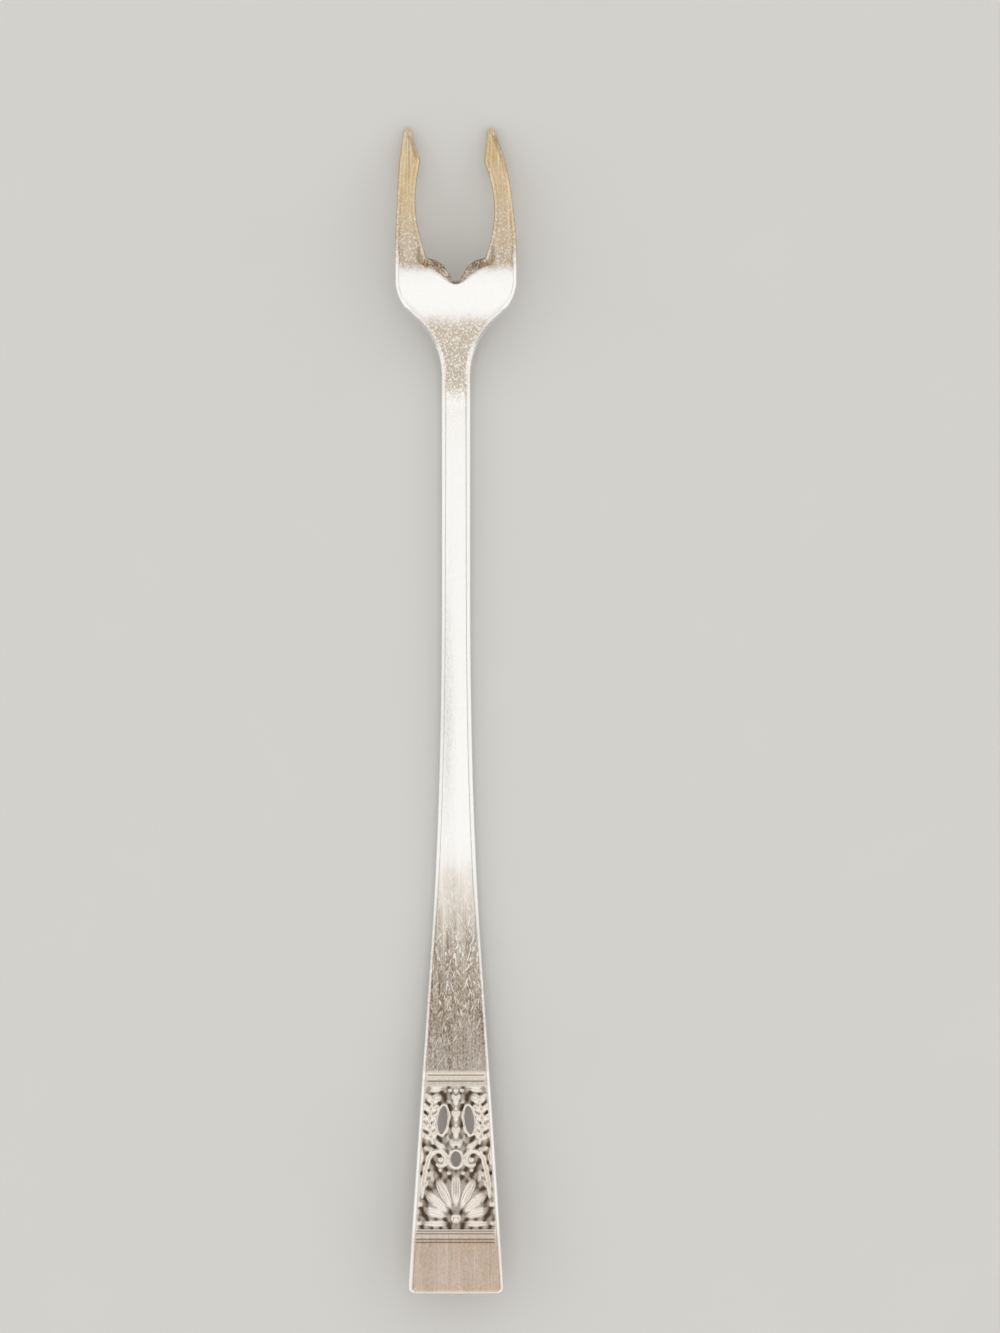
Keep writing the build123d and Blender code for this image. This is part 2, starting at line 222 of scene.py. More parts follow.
# Silver plate: electroplated silver, buffed along its length and then used for decades.
# The eye gets a soft bright mirror, with lengthwise lines and short crossing scratches where it is
# held, a speckled warm film where it is seldom rubbed, and brown sulphide left in every recess.
# The film and the grey dulling, laid on by station, are partly tarnish and partly painted reflection
# and shade; the bright specks are partly worn spots and partly painted glints; and the sulphide,
# darkening by depth, is also painted shade on the relief's lower flanks and in the grooves.
silverLook = {
    # The film, rose and dull colours are tarnish that also paints reflection and shade; the sulphide also
    # paints shade
    "clean": "#F4F3F0", "filmAndReflection": "#DFBE82", "roseAndReflection": "#DFB07E", "dull": "#846F5B", "sulphide_and_shade": "#5A4838",
    "polishedRoughness": 0.18, "dulledRoughness": 0.38, "sulphideRoughness": 0.2,
    # Size of each noise across and along in mm, its turn in degrees and its detail
    "brushGrain": (0.14, 12.0, 0.0, 2.0), "streakGrain": (0.9, 9.0, 1.0, 2.0),
    "blotchGrain": (6.0, 6.0, 0.0, 2.0), "speckGrain": (0.26, 0.34, 8.0, 4.0), "noiseRoughness": 0.55,
    "scratchSize": (0.17, 4.0), "scratchTurns": (2, -8, 14, -19, 27, -38),
    "scratchBreak": 0.7,    # breaks a long scratch into short ones
    "brushDepth": 0.0025, "scratchDepth": 0.0025, "speckDepth": 0.02,    # of the bump, in mm
    # Level of its noise at which each mark starts, and at which it is full
    "scratchLevels": (0.6, 0.74), "breakLevels": (0.46, 0.62), "speckLevels": (0.48, 0.64),
    "lineLevels": (0.5, 0.75),
    "sulphideAndShadeLevels": (0.28, 0.78), "recessMottle": 0.2,    # by the depth of the recess, a little mottled: sulphide in the hollows, painted shade on the flanks
    # Two levels of a noise, and how strong the film or the dulling is at each
    "blotchSpread": (0.3, 0.7, 0.8, 1.15), "streakSpread": (0.35, 0.65, 1.3, 0.66),
    "grainSpread": (0.35, 0.65, 1.4, 0.6),
    "bareFilm": 0.15, "bareDull": 0.12,    # what is left of the film and of the dulling on bare metal
}


def silverPlate():
    look = silverLook
    material = bpy.data.materials.new("silver_plate_worn_with_painted_light")
    material.use_nodes = True
    tree = material.node_tree
    shader = tree.nodes["Principled BSDF"]
    place = addNode(tree, "ShaderNodeTexCoord").outputs["Object"]
    filmAndReflection, rosy_film_and_reflection, dulling_and_painted_shade, speckled, scratched, brushed, recess = (
        addNode(tree, "ShaderNodeAttribute", attribute_name=name).outputs["Fac"]
        for name in ("tarnish_and_painted_reflection", "rosy_film_and_reflection", "dulling_and_painted_shade", "speckled", "scratched", "brushed", "recess"))

    def grain(across, along, turn, detail):    # noise stretched to these sizes in mm
        laid = addNode(tree, "ShaderNodeMapping", place, vector_type="TEXTURE",
                       Rotation=(0, 0, radians(turn)), Scale=(across * mm, along * mm, along * mm))
        return addNode(tree, "ShaderNodeTexNoise", laid, 1.0, detail, look["noiseRoughness"])

    # Real buffing lines and scratches are a few hundredths of a millimetre: drawn coarser here, to show
    brush, streak, blotch, speck = (
        grain(*look[name]) for name in ("brushGrain", "streakGrain", "blotchGrain", "speckGrain"))
    scratch = 0.0
    for turn in look["scratchTurns"]:
        line = grain(*look["scratchSize"], turn, 0.0)
        line = addNode(tree, "ShaderNodeMapRange", line, *look["scratchLevels"])
        stretch = grain(look["scratchBreak"], look["scratchBreak"], 2 * turn, 0.0)
        stretch = addNode(tree, "ShaderNodeMapRange", stretch, *look["breakLevels"])
        line = addNode(tree, "ShaderNodeMath", line, stretch, operation="MULTIPLY")
        scratch = addNode(tree, "ShaderNodeMath", scratch, line, operation="MAXIMUM")

    # Bare metal shows in specks, in scratches or in buffing lines, each as strong as the wear says;
    # the specks are partly worn spots and partly painted glints
    specks = addNode(tree, "ShaderNodeMapRange", speck, *look["speckLevels"])
    lines = addNode(tree, "ShaderNodeMapRange", brush, *look["lineLevels"])
    bare = 0.0
    for share, mark in ((speckled, specks), (scratched, scratch), (brushed, lines)):
        mark = addNode(tree, "ShaderNodeMath", share, mark, operation="MULTIPLY")
        bare = addNode(tree, "ShaderNodeMath", bare, mark, operation="MAXIMUM")
    keptFilm, keptDull = (
        addNode(tree, "ShaderNodeMapRange", bare, 0.0, 1.0, 1.0, look[left])
        for left in ("bareFilm", "bareDull"))
    uneven, streaked, grained = (
        addNode(tree, "ShaderNodeMapRange", noise, *look[spread]) for noise, spread in (
            (blotch, "blotchSpread"), (streak, "streakSpread"), (speck, "grainSpread")))
    streaked = addNode(tree, "ShaderNodeMix", brushed, 1.0, streaked)    # streaks where it is buffed
    grained = addNode(tree, "ShaderNodeMix", brushed, grained, 1.0)    # grains where it is not
    filmShare, dullShare = filmAndReflection, dulling_and_painted_shade
    for factor in (uneven, keptFilm):
        filmShare = addNode(tree, "ShaderNodeMath", filmShare, factor, operation="MULTIPLY")
    for factor in (streaked, grained, keptDull):
        dullShare = addNode(tree, "ShaderNodeMath", dullShare, factor, operation="MULTIPLY")
    # Sulphide darkening by the depth of the recess: patina in the hollows, painted shade on the relief's
    # flanks
    mottled = addNode(tree, "ShaderNodeMath", speck, look["recessMottle"], -look["recessMottle"] / 2,
                      operation="MULTIPLY_ADD")
    mottled = addNode(tree, "ShaderNodeMath", recess, mottled, operation="ADD")
    dark = addNode(tree, "ShaderNodeMapRange", mottled, *look["sulphideAndShadeLevels"],
                   interpolation_type="SMOOTHSTEP")

    # Colour: warm film and painted reflection, then grey dulling and painted shade, then brown sulphide
    # and painted shade over the clean silver
    filmHue = addNode(tree, "ShaderNodeMix", rosy_film_and_reflection, linear(look["filmAndReflection"]), linear(look["roseAndReflection"]),
                      data_type="RGBA")
    colour = addNode(tree, "ShaderNodeMix", filmShare, linear(look["clean"]), filmHue, data_type="RGBA")
    colour = addNode(tree, "ShaderNodeMix", dullShare, colour, linear(look["dull"]), data_type="RGBA")
    colour = addNode(tree, "ShaderNodeMix", dark, colour, linear(look["sulphide_and_shade"]), data_type="RGBA")

    # Roughness, and a shallow bump from the lines, the scratches and the pits
    rough = addNode(tree, "ShaderNodeMapRange", dullShare, 0.0, 1.0,
                    look["polishedRoughness"], look["dulledRoughness"])
    rough = addNode(tree, "ShaderNodeMath", dark, look["sulphideRoughness"], rough,
                    operation="MULTIPLY_ADD")
    buffing = addNode(tree, "ShaderNodeMath", brushed, look["brushDepth"], operation="MULTIPLY")
    scoring = addNode(tree, "ShaderNodeMath", scratched, -look["scratchDepth"], operation="MULTIPLY")
    height = addNode(tree, "ShaderNodeMath", brush, buffing, operation="MULTIPLY")
    height = addNode(tree, "ShaderNodeMath", scratch, scoring, height, operation="MULTIPLY_ADD")
    pits = addNode(tree, "ShaderNodeMath", speckled, look["speckDepth"], operation="MULTIPLY")
    height = addNode(tree, "ShaderNodeMath", speck, pits, height, operation="MULTIPLY_ADD")
    bump = addNode(tree, "ShaderNodeBump", Height=height, Strength=1.0, Distance=mm)
    shader.inputs["Metallic"].default_value = 1.0
    for node, socket in ((colour, "Base Color"), (rough, "Roughness"), (bump, "Normal")):
        tree.links.new(next(output for output in node.outputs if output.enabled), shader.inputs[socket])
    return material


# Nickel silver: the yellowish white alloy under the plate, left as rolled and struck.
# It would show as a duller, slightly straw-coloured metal where the plate wears through.
nickelLook = {"metal": "#CFC6B0", "dull": "#B3A88F", "roughness": 0.34, "grainSize": 0.6}


def nickelSilver():
    look = nickelLook
    material = bpy.data.materials.new("nickel_silver_as_struck")
    material.use_nodes = True
    tree = material.node_tree
    shader = tree.nodes["Principled BSDF"]
    place = addNode(tree, "ShaderNodeTexCoord").outputs["Object"]
    grain = addNode(tree, "ShaderNodeTexNoise", place, 1 / (look["grainSize"] * mm))
    colour = addNode(tree, "ShaderNodeMix", grain, linear(look["metal"]), linear(look["dull"]),
                     data_type="RGBA")
    shader.inputs["Metallic"].default_value = 1.0
    shader.inputs["Roughness"].default_value = look["roughness"]
    tree.links.new(colour.outputs["Result"], shader.inputs["Base Color"])
    return material


plateMaterial = silverPlate()
coreMaterial = nickelSilver()
print("materials ready")

# Ornament die, in mm on the handle's own slope: u across, v from the panel's wide end,
# w the height, with 0 at the handle's face and -groundDepth at the background
die = {
    "groundDepth": 0.45, "crown": 0.43,
    "palmetteFoot": 1.5, "palmetteLength": 6.2, "lobes": 7, "lobeSpread": 25.0, "lobeDroop": 0.6,
    "lobeStart": 1.05, "lobeWidth": 1.45, "buttonRadius": 0.75,
    "scrollFoot": 4.2, "scrollMargin": 0.54, "scrollRadius": 16.0, "scrollTurn": 20.0, "scrollWidth": 0.75,
    "voluteRadius": 1.2, "voluteEyeRadius": 0.8, "voluteTurn": 150.0, "eyeRadius": 0.42,
    "huskBelowTop": 1.9, "huskPitch": 2.2, "huskLength": 1.9, "huskWidth": 0.72,
    "petalLength": 1.27, "petalReach": 0.48, "huskFlare": 28.0, "husks": 3,
    "sprayBelowTop": 7.8, "sprayMargin": 1.5, "sprayRadius": 11.0, "sprayTurn": 32.0, "sprayStem": 0.34,
    "sprayLeaves": 5, "leafLength": 1.7, "leafWidth": 0.82, "leafAngle": 40.0, "stemPoints": 41,
    "almondCenter": 9.4, "almondSize": (1.4, 2.1), "slotOffset": 1.78, "slotBelowTop": 4.5,
    "slotSize": (1.24, 3.8), "slotTilt": 6.0, "holeRim": 0.3, "rimRadius": 0.21, "holeSides": 48,
    "veinDepth": 0.3, "veinWidth": 0.25, "swell": 0.25, "leafCuts": 21, "leafletCuts": 11,
    "strokeStep": 0.08, "strokeSides": 16, "endTaper": 0.35, "taperPower": 6.0,
    "rayStart": 5.0, "rayLength": 20.0,    # the die's heights are read by rays from above it
    "wearPasses": 2, "wearWeight": 0.6,
    # Fill on the right-hand side, mirrored to the left: foot u and v, heading, length, width and
    # share of the crown
    "fillLeaves": [
        (0.9, 0.8, -90, 3.9, 1.05, 0.9), (2.4, 3.4, -34, 2.5, 0.9, 0.6),
        (3.1, 6.0, -4, 2.4, 0.8, 0.75), (4.6, 5.4, 42, 1.9, 0.75, 0.8),
        (4.4, 7.0, 62, 1.8, 0.7, 0.75), (4.75, 8.3, 6, 2.6, 0.75, 0.85),
        (1.2, 10.5, -52, 2.6, 0.95, 0.9), (2.6, 10.6, -84, 1.9, 0.8, 0.7),
        (0.2, 10.7, -24, 1.7, 0.8, 0.8), (3.9, 18.6, 84, 2.5, 0.95, 0.9),
        (3.5, 17.4, 62, 1.6, 0.75, 0.75), (1.4, 17.2, 108, 1.1, 0.6, 0.7),
        (1.0, 11.6, -8, 1.3, 0.6, 0.7), (2.3, 5.2, 18, 2.4, 0.7, 0.6),
    ],
    "fillBeads": [    # u, v and radius
        (4.85, 0.85, 0.38), (4.75, 3.35, 0.4), (0.95, 7.55, 0.34), (2.1, 7.9, 0.3), (4.0, 10.9, 0.36),
        (0.0, 18.5, 0.4), (0.8, 18.6, 0.34), (0.0, 16.1, 0.3), (0.0, 13.9, 0.3), (0.0, 11.5, 0.42),
    ],
    "beadShare": 0.85,
    "betweenLobes": (2.3, 5.7, 1.1, 0.6),    # start, length, width, share of the crown
    # Low overlapping leaflets over the whole background: pitch across and along, first place as a share
    # of the pitch, lean at the middle and its growth per mm, size and share of the crown
    "leafletPitch": (1.1, 1.15), "leafletStart": (0.05, -0.4), "leafletLean": (14.0, 7.0),
    "leafletSize": (1.05, 1.9), "leafletShare": 0.5,
}
piercings = [((0, die["almondCenter"]), die["almondSize"], 0)]
for side in (1, -1):
    slotCenter = (side * die["slotOffset"], panelTop - die["slotBelowTop"])
    piercings.append((slotCenter, die["slotSize"], side * die["slotTilt"]))


def runArc(point, angle, radius, turn, count=24):    # samples of an arc that turns to the left
    right = np.array((cos(radians(angle)), sin(radians(angle))))
    return arc(np.array(point) - radius * right, radius, angle, angle + turn, count)


def leafAlong(foot, angle, start, end, width, share=1.0):    # an oval that points away from a foot
    return (*(np.array(foot) + heading(angle) * (start + end) / 2), angle, width, end - start, share)


def bead(u, v, radius, share=1.0):
    return (u, v, 0, 2 * radius, 2 * radius, share)


def panelHalf(v):    # half the width of the panel at v
    return fieldHalf(panelStart + v * cos(handleSlope))


def palmette():    # a fan of lobes
    foot, lobes = (0, die["palmetteFoot"]), []
    for k in range(die["lobes"]):
        angle = (k - (die["lobes"] - 1) / 2) * die["lobeSpread"]
        length = die["palmetteLength"] * cos(radians(die["lobeDroop"] * angle))
        lobes.append(leafAlong(foot, angle, die["lobeStart"], length, die["lobeWidth"]))
        if k:    # a low lobe between this one and the last
            angle -= die["lobeSpread"] / 2
            start, reach, width, share = die["betweenLobes"]
            length = reach * cos(radians(die["lobeDroop"] * angle))
            lobes.append(leafAlong(foot, angle, start, length, width, share))
    return lobes


def huskColumn():    # buds with two flared petals, one above another
    leaves = []
    start = die["petalReach"] - die["petalLength"] / 2
    for k in range(die["husks"]):
        v = panelTop - die["huskBelowTop"] - k * die["huskPitch"]
        leaves.append((0, v, 0, die["huskWidth"], die["huskLength"], 1.0))
        for angle in (-die["huskFlare"], die["huskFlare"]):
            leaves.append(leafAlong((0, v), angle, start, start + die["petalLength"], die["huskWidth"]))
    return leaves


def scroll(side):    # the stroke of a scroll and its volute, and the bead in the volute's eye
    foot = (panelHalf(die["scrollFoot"]) - die["scrollMargin"], die["scrollFoot"])
    rise = runArc(foot, 0, die["scrollRadius"], die["scrollTurn"])
    curl = runArc(rise[-1], die["scrollTurn"], die["voluteRadius"], die["voluteTurn"])
    curlEnd = die["scrollTurn"] + die["voluteTurn"]
    eye = runArc(curl[-1], curlEnd, die["voluteEyeRadius"], die["voluteTurn"])
    path = np.vstack((rise, curl[1:], eye[1:])) * (side, 1)
    middle = eye[len(eye) // 2]
    eyeCenter = middle + die["voluteEyeRadius"] * unit(eye[0] + eye[-1] - 2 * middle)
    return (path, die["scrollWidth"] / 2, False), bead(*(eyeCenter * (side, 1)), die["eyeRadius"])


def spray(side):    # the stroke of a curved stem, and the pairs of leaves along it
    footV = panelTop - die["sprayBelowTop"]
    foot = (panelHalf(footV) - die["sprayMargin"], footV)
    stem = runArc(foot, -die["sprayTurn"] / 2, die["sprayRadius"], die["sprayTurn"], die["stemPoints"])
    stem = stem * (side, 1)
    leaves = []
    for k in range(die["sprayLeaves"]):
        share = (k + 0.5) / die["sprayLeaves"]
        at = stem[round(share * (len(stem) - 1))]
        for lean in (-die["leafAngle"], die["leafAngle"]):
            angle = side * ((share - 0.5) * die["sprayTurn"] + lean)
            leaves.append(leafAlong(at, angle, 0, die["leafLength"], die["leafWidth"]))
    return (stem, die["sprayStem"] / 2, False), leaves


def leafletRows(side):    # low leaflets over the background, with every other row half a pitch over
    pitchU, pitchV = die["leafletPitch"]
    startU, startV = die["leafletStart"]
    width, length = die["leafletSize"]
    leaflets = []
    for k in range(int(panelTop / pitchV) + 1):
        v = (k + startV) * pitchV
        for u in np.arange((k % 2) / 2 + startU, panelHalf(v) / pitchU) * pitchU:
            lean = -die["leafletLean"][0] - die["leafletLean"][1] * u
            leaflets.append(leafAlong((side * u, v), side * lean, 0, length, width, die["leafletShare"]))
    return leaflets


def holeRims():    # a closed stroke round each piercing
    strokes = []
    for center, size, tilt in piercings:
        loop = arc((0, 0), 1, 0, 360, die["holeSides"] + 1)[:-1]
        loop *= np.array(size) / 2 + die["holeRim"] / 2
        turned = np.outer(loop[:, 0], (cos(radians(tilt)), sin(radians(tilt))))
        turned += np.outer(loop[:, 1], (-sin(radians(tilt)), cos(radians(tilt))))
        strokes.append((turned + center, die["rimRadius"], True))
    return strokes


def dieLayout():    # ovals are place, turn, size and share; strokes are path, half width and closed or not
    lobes, leaves, leaflets, strokes = palmette(), huskColumn(), [], []
    beads = [bead(0, die["palmetteFoot"], die["buttonRadius"])]
    for side in (1, -1):
        scrollStroke, scrollEye = scroll(side)
        stem, stemLeaves = spray(side)
        strokes += [scrollStroke, stem]
        beads.append(scrollEye)
        leaves += stemLeaves
        leaves += [leafAlong((side * u, v), side * angle, 0, length, width, share)
                   for u, v, angle, length, width, share in die["fillLeaves"]]
        beads += [bead(side * u, v, radius, die["beadShare"]) for u, v, radius in die["fillBeads"]]
        leaflets += leafletRows(side)
    return lobes, leaves, leaflets, beads, strokes + holeRims()


def newTree(name, **inputs):    # geometry in, geometry out and the named sizes between them
    tree = bpy.data.node_groups.new(name, "GeometryNodeTree")
    tree.interface.new_socket("Geometry", in_out="INPUT", socket_type="NodeSocketGeometry")
    tree.interface.new_socket("Geometry", in_out="OUTPUT", socket_type="NodeSocketGeometry")
    for label, kind in inputs.items():
        label = label.replace("_", " ")
        tree.interface.new_socket(label, in_out="INPUT", socket_type="NodeSocket" + kind)
    return tree, addNode(tree, "NodeGroupInput").outputs


def endTree(tree, geometry, material):    # the last nodes of every tree
    real = addNode(tree, "GeometryNodeRealizeInstances", geometry)
    dressed = addNode(tree, "GeometryNodeSetMaterial", real, Material=material)
    addNode(tree, "NodeGroupOutput", dressed)
    return tree


def leafTree():    # a domed, veined leaf on every point, turned and sized by the point's attributes
    tree, given = newTree("leaf_die", Vein_Depth="Float", Vein_Width="Float", Swell="Float", Cuts="Int")
    sheet = addNode(tree, "GeometryNodeMeshGrid", pi, pi, given["Cuts"], given["Cuts"])
    spot = addNode(tree, "ShaderNodeSeparateXYZ", addNode(tree, "GeometryNodeInputPosition")).outputs
    sinX, cosX, sinY, cosY = (
        addNode(tree, "ShaderNodeMath", spot[axis], operation=wave)
        for axis in (0, 1) for wave in ("SINE", "COSINE"))
    swell = addNode(tree, "ShaderNodeMath", sinY, given["Swell"], 1.0, operation="MULTIPLY_ADD")
    girth = addNode(tree, "ShaderNodeMath", cosY, swell, operation="MULTIPLY")
    across = addNode(tree, "ShaderNodeMath", sinX, girth, operation="MULTIPLY")
    bed = addNode(tree, "ShaderNodeMath", 1.0, given["Vein Depth"], operation="SUBTRACT")
    fromVein = addNode(tree, "ShaderNodeMath", sinX, operation="ABSOLUTE")
    vein = addNode(tree, "ShaderNodeMapRange", fromVein, 0.0, given["Vein Width"], bed, 1.0,
                   interpolation_type="SMOOTHSTEP")
    dome = addNode(tree, "ShaderNodeMath", cosX, cosY, operation="MULTIPLY")
    crown = addNode(tree, "ShaderNodeMath", dome, vein, operation="MULTIPLY")
    shape = addNode(tree, "ShaderNodeCombineXYZ", across, sinY, crown)
    leaf = addNode(tree, "GeometryNodeSetPosition", sheet, Position=shape)
    turn, size = (addNode(tree, "GeometryNodeInputNamedAttribute", name, data_type="FLOAT_VECTOR")
                  for name in ("turn", "size"))
    placed = addNode(tree, "GeometryNodeInstanceOnPoints", given["Geometry"], Instance=leaf,
                     Rotation=turn, Scale=size)
    return endTree(tree, placed, plateMaterial)


def strokeTree():    # round strokes along lines of edges, thinner at their ends
    tree, given = newTree("stroke_die", End_Taper="Float", Step="Float")
    line = addNode(tree, "GeometryNodeMeshToCurve", given["Geometry"])
    line = addNode(tree, "GeometryNodeResampleCurve", line, Length=given["Step"], mode="LENGTH")
    along = addNode(tree, "GeometryNodeSplineParameter").outputs["Factor"]
    width, isOpen = (addNode(tree, "GeometryNodeInputNamedAttribute", name, data_type="FLOAT")
                     for name in ("halfWidth", "isOpen"))
    fromMiddle = addNode(tree, "ShaderNodeMath", along, 2.0, -1.0, operation="MULTIPLY_ADD")
    ends = addNode(tree, "ShaderNodeMath", fromMiddle, die["taperPower"], operation="POWER")
    loss = addNode(tree, "ShaderNodeMath", ends, given["End Taper"], operation="MULTIPLY")
    loss = addNode(tree, "ShaderNodeMath", loss, isOpen, operation="MULTIPLY")
    taper = addNode(tree, "ShaderNodeMath", 1.0, loss, operation="SUBTRACT")
    radius = addNode(tree, "ShaderNodeMath", width, taper, operation="MULTIPLY")
    ring = addNode(tree, "GeometryNodeCurvePrimitiveCircle", die["strokeSides"])
    tube = addNode(tree, "GeometryNodeCurveToMesh", line, ring, radius, True)
    return endTree(tree, tube, plateMaterial)


def strikeTree():    # presses the die's heights into both faces of the panel
    tree, given = newTree("strike_panel", Die="Object", Ground_Depth="Float", Wear_Passes="Int",
                          Slope="Float")
    panelU, panelV, panelMask, panelSide, recess = (
        addNode(tree, "GeometryNodeInputNamedAttribute", name, data_type="FLOAT")
        for name in ("panelU", "panelV", "panelMask", "panelSide", "recess"))
    target = addNode(tree, "GeometryNodeObjectInfo", given["Die"]).outputs["Geometry"]
    above = addNode(tree, "ShaderNodeCombineXYZ", panelU, panelV, die["rayStart"])
    ray = addNode(tree, "GeometryNodeRaycast", target, Source_Position=above, Ray_Direction=(0, 0, -1),
                  Ray_Length=die["rayLength"]).outputs
    ground = addNode(tree, "ShaderNodeMath", given["Ground Depth"], -1.0, operation="MULTIPLY")
    height = addNode(tree, "ShaderNodeSeparateXYZ", ray["Hit Position"]).outputs[2]
    height = addNode(tree, "ShaderNodeMath", height, ground, operation="MAXIMUM")
    struck = addNode(tree, "GeometryNodeSwitch", ray["Is Hit"], ground, height, input_type="FLOAT")
    struck = addNode(tree, "ShaderNodeMath", struck, 0.0, operation="MINIMUM")
    struck = addNode(tree, "ShaderNodeMath", struck, panelMask, operation="MULTIPLY")
    worn = addNode(tree, "GeometryNodeBlurAttribute", struck, given["Wear Passes"], die["wearWeight"],
                   data_type="FLOAT")
    lift = addNode(tree, "ShaderNodeMath", worn, panelSide, operation="MULTIPLY")
    lift = addNode(tree, "ShaderNodeMath", lift, mm, operation="MULTIPLY")
    lean = addNode(tree, "ShaderNodeMath", given["Slope"], operation="SINE")
    rise = addNode(tree, "ShaderNodeMath", given["Slope"], operation="COSINE")
    normal = addNode(tree, "ShaderNodeCombineXYZ", 0.0, lean, rise)
    offset = addNode(tree, "ShaderNodeVectorMath", normal, Scale=lift, operation="SCALE")
    depth = addNode(tree, "ShaderNodeMath", worn, ground, operation="DIVIDE")
    depth = addNode(tree, "ShaderNodeMath", recess, depth, operation="MAXIMUM")
    marked = addNode(tree, "GeometryNodeStoreNamedAttribute", given["Geometry"], Name="recess",
                     Value=depth, data_type="FLOAT", domain="POINT")
    moved = addNode(tree, "GeometryNodeSetPosition", marked, Offset=offset)
    return endTree(tree, moved, plateMaterial)


def meshObject(name, points, edges=(), faces=(), **attributes):
    mesh = bpy.data.meshes.new(name)
    mesh.from_pydata([tuple(point) for point in points], list(edges), list(faces))
    for key, values in attributes.items():
        values = np.asarray(values, np.float32)
        kind, field = ("FLOAT_VECTOR", "vector") if values.ndim == 2 else ("FLOAT", "value")
        mesh.attributes.new(key, kind, "POINT").data.foreach_set(field, values.ravel())
    piece = bpy.data.objects.new(name, mesh)
    bpy.context.scene.collection.objects.link(piece)
    return piece


def grown(piece, tree, **sizes):    # runs a tree on a piece and leaves the plain mesh
    modifier = piece.modifiers.new(tree.name, "NODES")
    modifier.node_group = tree
    inputs = [item for item in tree.interface.items_tree if item.in_out == "INPUT"]
    sockets = {item.name: item.identifier for item in inputs}
    for label, value in sizes.items():
        modifier[sockets[label.replace("_", " ")]] = value
    depsgraph = bpy.context.evaluated_depsgraph_get()
    mesh = bpy.data.meshes.new_from_object(
        piece.evaluated_get(depsgraph), preserve_all_data_layers=True, depsgraph=depsgraph)
    piece.modifiers.clear()
    piece.data = mesh
    return piece


def buildDie():
    lobes, leaves, leaflets, beads, strokes = dieLayout()
    leafGroup, strokeGroup = leafTree(), strokeTree()
    kinds = {    # ovals, depth of the vein, swell towards the far end and cuts of the sheet
        "palmette_die": (lobes, die["veinDepth"], die["swell"], die["leafCuts"]),
        "leaf_die": (leaves, die["veinDepth"], -die["swell"], die["leafCuts"]),
        "leaflet_die": (leaflets, 0.0, -die["swell"], die["leafletCuts"]),
        "bead_die": (beads, 0.0, 0.0, die["leafCuts"]),
    }
    made = []
    for name, (ovals, vein, swell, cuts) in kinds.items():
        points = [(u, v, -die["groundDepth"]) for u, v, *_ in ovals]
        turns = [(0, 0, radians(angle)) for _, _, angle, *_ in ovals]
        sizes = [(width / 2, length / 2, die["crown"] * share) for *_, width, length, share in ovals]
        piece = meshObject(name, points, turn=turns, size=sizes)
        grown(piece, leafGroup, Vein_Depth=vein, Vein_Width=die["veinWidth"], Swell=swell, Cuts=cuts)
        made.append(piece)
    points, edges, widths, isOpen = [], [], [], []
    for path, halfWidth, closed in strokes:
        first = len(points)
        points += [(u, v, die["crown"] - die["groundDepth"] - halfWidth) for u, v in path]
        edges += [(first + k, first + k + 1) for k in range(len(path) - 1)]
        if closed:
            edges.append((len(points) - 1, first))
        widths += [halfWidth] * len(path)
        isOpen += [0.0 if closed else 1.0] * len(path)
    piece = meshObject("stroke_die", points, edges, halfWidth=widths, isOpen=isOpen)
    made.append(grown(piece, strokeGroup, End_Taper=die["endTaper"], Step=die["strokeStep"]))
    whole = bmesh.new()
    for piece in made:
        whole.from_mesh(piece.data)
        bpy.data.objects.remove(piece)
    joined = meshObject("ornament_die", [])
    whole.to_mesh(joined.data)
    whole.free()
    return joined


